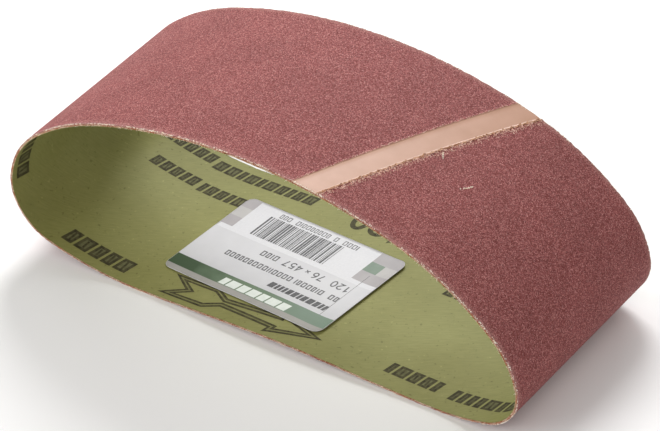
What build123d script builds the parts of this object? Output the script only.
"""Abrasive sanding belt, lying as a loose loop on its flat bottom run.

Millimetres, +Z up, +X along the lying loop, Y across the belt.
The origin is the middle of the footprint, on the floor.
The belt is one long laminate strip glued end to end; its layers follow one
closed line of straight and tangent arcs and are bonded face to face.
"""
from build123d import *
from math import cos, radians, sin
import os

os.makedirs("parts", exist_ok=True)

# Standard belt size: width and inner length round the rollers.
belt_width = 76.0
belt_length = 457.0

# Layers of the strip, from the inside of the loop outwards.
back_coat_thickness = 0.12
cloth_thickness = 0.45
make_coat_thickness = 0.12
grain_thickness = 0.26

# Distance of each layer's outer face from the inner face of the belt.
cloth_from = back_coat_thickness
make_coat_from = cloth_from + cloth_thickness
grain_from = make_coat_from + make_coat_thickness
belt_thickness = grain_from + grain_thickness

# The lying loop is a flat run and then these bends of the inner face, as radius
# and turn in degrees, counter-clockwise seen from the front (-Y).
loop_bends = [
    (73.6, 15.0),  # the flat lifts off the floor
    (14.5, 84.5),  # right bend; its radius is worked out again below
    (32.8, 34.0),
    (89.3, 26.5),
    (182.0, 36.0),  # crown of the top run
    (89.0, 20.5),
    (36.8, 39.0),
    (18.4, 86.5),  # left bend
    (122.0, 18.0),  # settles back onto the floor
]
RIGHT_BEND = 1

# Joint of the strip's two ends, a straight diagonal across the crown.
splice_middle_x = 46.2
splice_angle = 21.7
splice_glue_width = 0.4
splice_tape_width = 8.1
splice_tape_thickness = 0.22
crown_cut_height = 80.0
crown_cut_depth = 40.0
splice_cut_length = 120.0

# Paper label on the flat run, with its stuck-down underside.
label_length = 68.6
label_width = 46.4
label_corner = 3.0
label_middle = (-12.4, -3.2)
label_turn = -4.3
label_adhesive_thickness = 0.10
label_paper_thickness = 0.14


def close_loop(bends, length):
    """Radii and flat run of a closed line of the given length.

    The right bend gets the radius that brings the line back to the floor and the
    flat gets the length that brings it back to its start.
    """
    radii = [radius for radius, turn in bends]
    heading = 0.0
    rises = []
    for radius, turn in bends:
        rises.append(cos(radians(heading)) - cos(radians(heading + turn)))
        heading += turn
    others = sum(r * rise for r, rise in zip(radii, rises)) - radii[RIGHT_BEND] * rises[RIGHT_BEND]
    radii[RIGHT_BEND] = -others / rises[RIGHT_BEND]
    heading = 0.0
    run = 0.0
    arc_length = 0.0
    for radius, (_, turn) in zip(radii, bends):
        run += radius * (sin(radians(heading + turn)) - sin(radians(heading)))
        arc_length += radius * radians(turn)
        heading += turn
    scale = length / (arc_length - run)
    return [radius * scale for radius in radii], -run * scale


def middle_of_loop(radii, flat):
    """X of the middle of the loop, measured from the left end of its flat run."""
    heading = 0.0
    x = flat
    reached = []
    for radius, (_, turn) in zip(radii, loop_bends):
        centre = x - radius * sin(radians(heading))
        for side in (90.0, 270.0):
            if heading < side < heading + turn:
                reached.append(centre + radius * sin(radians(side)))
        heading += turn
        x = centre + radius * sin(radians(heading))
    return sum(reached) / 2


bend_radii, flat_length = close_loop(loop_bends, belt_length)
flat_start = -middle_of_loop(bend_radii, flat_length)


def loop_line(distance):
    """Closed line of the belt, the given distance outside its inner face."""
    floor_z = belt_thickness - distance
    edge = Line((flat_start, floor_z), (flat_start + flat_length, floor_z))
    for radius, (_, turn) in zip(bend_radii, loop_bends):
        edge = JernArc(edge @ 1, edge % 1, radius + distance, turn)


def layer_face(inside, outside):
    """Section of the layer between two distances from the inner face."""
    with BuildLine() as outer_line:
        loop_line(outside)
    make_face(outer_line.edges())
    with BuildLine() as inner_line:
        loop_line(inside)
    make_face(inner_line.edges(), mode=Mode.SUBTRACT)


def splice_band(width, side):
    """Strip along the splice, seen from above, on one side of the joint line."""
    with Locations((splice_middle_x, 0)):
        Rectangle(width, splice_cut_length, rotation=-splice_angle, align=(side, Align.CENTER))


section_plane = Plane.XZ.offset(-belt_width / 2)
above_crown = Plane.XY.offset(crown_cut_height)

# Green finish on the inside of the belt, which runs over the sander's platen.
with BuildPart() as back_coat:
    with BuildSketch(section_plane):
        layer_face(0, cloth_from)
    extrude(amount=belt_width)
    with BuildSketch(above_crown):
        splice_band(splice_glue_width, Align.MIN)
    extrude(amount=-crown_cut_depth, mode=Mode.SUBTRACT)

# Woven cloth, which carries the pull of the belt.
with BuildPart() as cloth_backing:
    with BuildSketch(section_plane):
        layer_face(cloth_from, make_coat_from)
    extrude(amount=belt_width)
    with BuildSketch(above_crown):
        splice_band(splice_glue_width, Align.MIN)
    extrude(amount=-crown_cut_depth, mode=Mode.SUBTRACT)

# Resin that holds the grain to the cloth, ground away under the splice tape.
with BuildPart() as make_coat:
    with BuildSketch(section_plane):
        layer_face(make_coat_from, grain_from)
    extrude(amount=belt_width)
    with BuildSketch(above_crown):
        splice_band(splice_glue_width, Align.MIN)
        splice_band(splice_tape_width, Align.MAX)
    extrude(amount=-crown_cut_depth, mode=Mode.SUBTRACT)

# Aluminium oxide grain with the resin between the grains, the working face.
with BuildPart() as abrasive_grain:
    with BuildSketch(section_plane):
        layer_face(grain_from, belt_thickness)
    extrude(amount=belt_width)
    with BuildSketch(above_crown):
        splice_band(splice_glue_width, Align.MIN)
        splice_band(splice_tape_width, Align.MAX)
    extrude(amount=-crown_cut_depth, mode=Mode.SUBTRACT)

# Glue line between the two cut ends of the strip, through its whole thickness.
with BuildPart() as splice_adhesive:
    with BuildSketch(section_plane):
        layer_face(0, belt_thickness)
    extrude(amount=belt_width)
    with BuildSketch(above_crown):
        splice_band(splice_glue_width, Align.MIN)
    extrude(amount=-crown_cut_depth, mode=Mode.INTERSECT)

# Smooth tan tape in the band beside the joint where the grain is taken off.
with BuildPart() as splice_tape:
    with BuildSketch(section_plane):
        layer_face(make_coat_from, make_coat_from + splice_tape_thickness)
    extrude(amount=belt_width)
    with BuildSketch(above_crown):
        splice_band(splice_tape_width, Align.MAX)
    extrude(amount=-crown_cut_depth, mode=Mode.INTERSECT)

# Sticky underside of the label, on the inner face of the flat run.
with BuildPart() as label_adhesive:
    with BuildSketch(Plane.XY.offset(belt_thickness)):
        with Locations(label_middle):
            RectangleRounded(label_length, label_width, label_corner, rotation=label_turn)
    extrude(amount=label_adhesive_thickness)

# Printed paper of the label.
with BuildPart() as label_paper:
    with BuildSketch(Plane.XY.offset(belt_thickness + label_adhesive_thickness)):
        with Locations(label_middle):
            RectangleRounded(label_length, label_width, label_corner, rotation=label_turn)
    extrude(amount=label_paper_thickness)

back_coat.part.label = "back_coat"
cloth_backing.part.label = "cloth_backing"
make_coat.part.label = "make_coat"
abrasive_grain.part.label = "abrasive_grain"
splice_adhesive.part.label = "splice_adhesive"
splice_tape.part.label = "splice_tape"
label_adhesive.part.label = "label_adhesive"
label_paper.part.label = "label_paper"

export_step(back_coat.part, "parts/back_coat.step")
export_step(cloth_backing.part, "parts/cloth_backing.step")
export_step(make_coat.part, "parts/make_coat.step")
export_step(abrasive_grain.part, "parts/abrasive_grain.step")
export_step(splice_adhesive.part, "parts/splice_adhesive.step")
export_step(splice_tape.part, "parts/splice_tape.step")
export_step(label_adhesive.part, "parts/label_adhesive.step")
export_step(label_paper.part, "parts/label_paper.step")
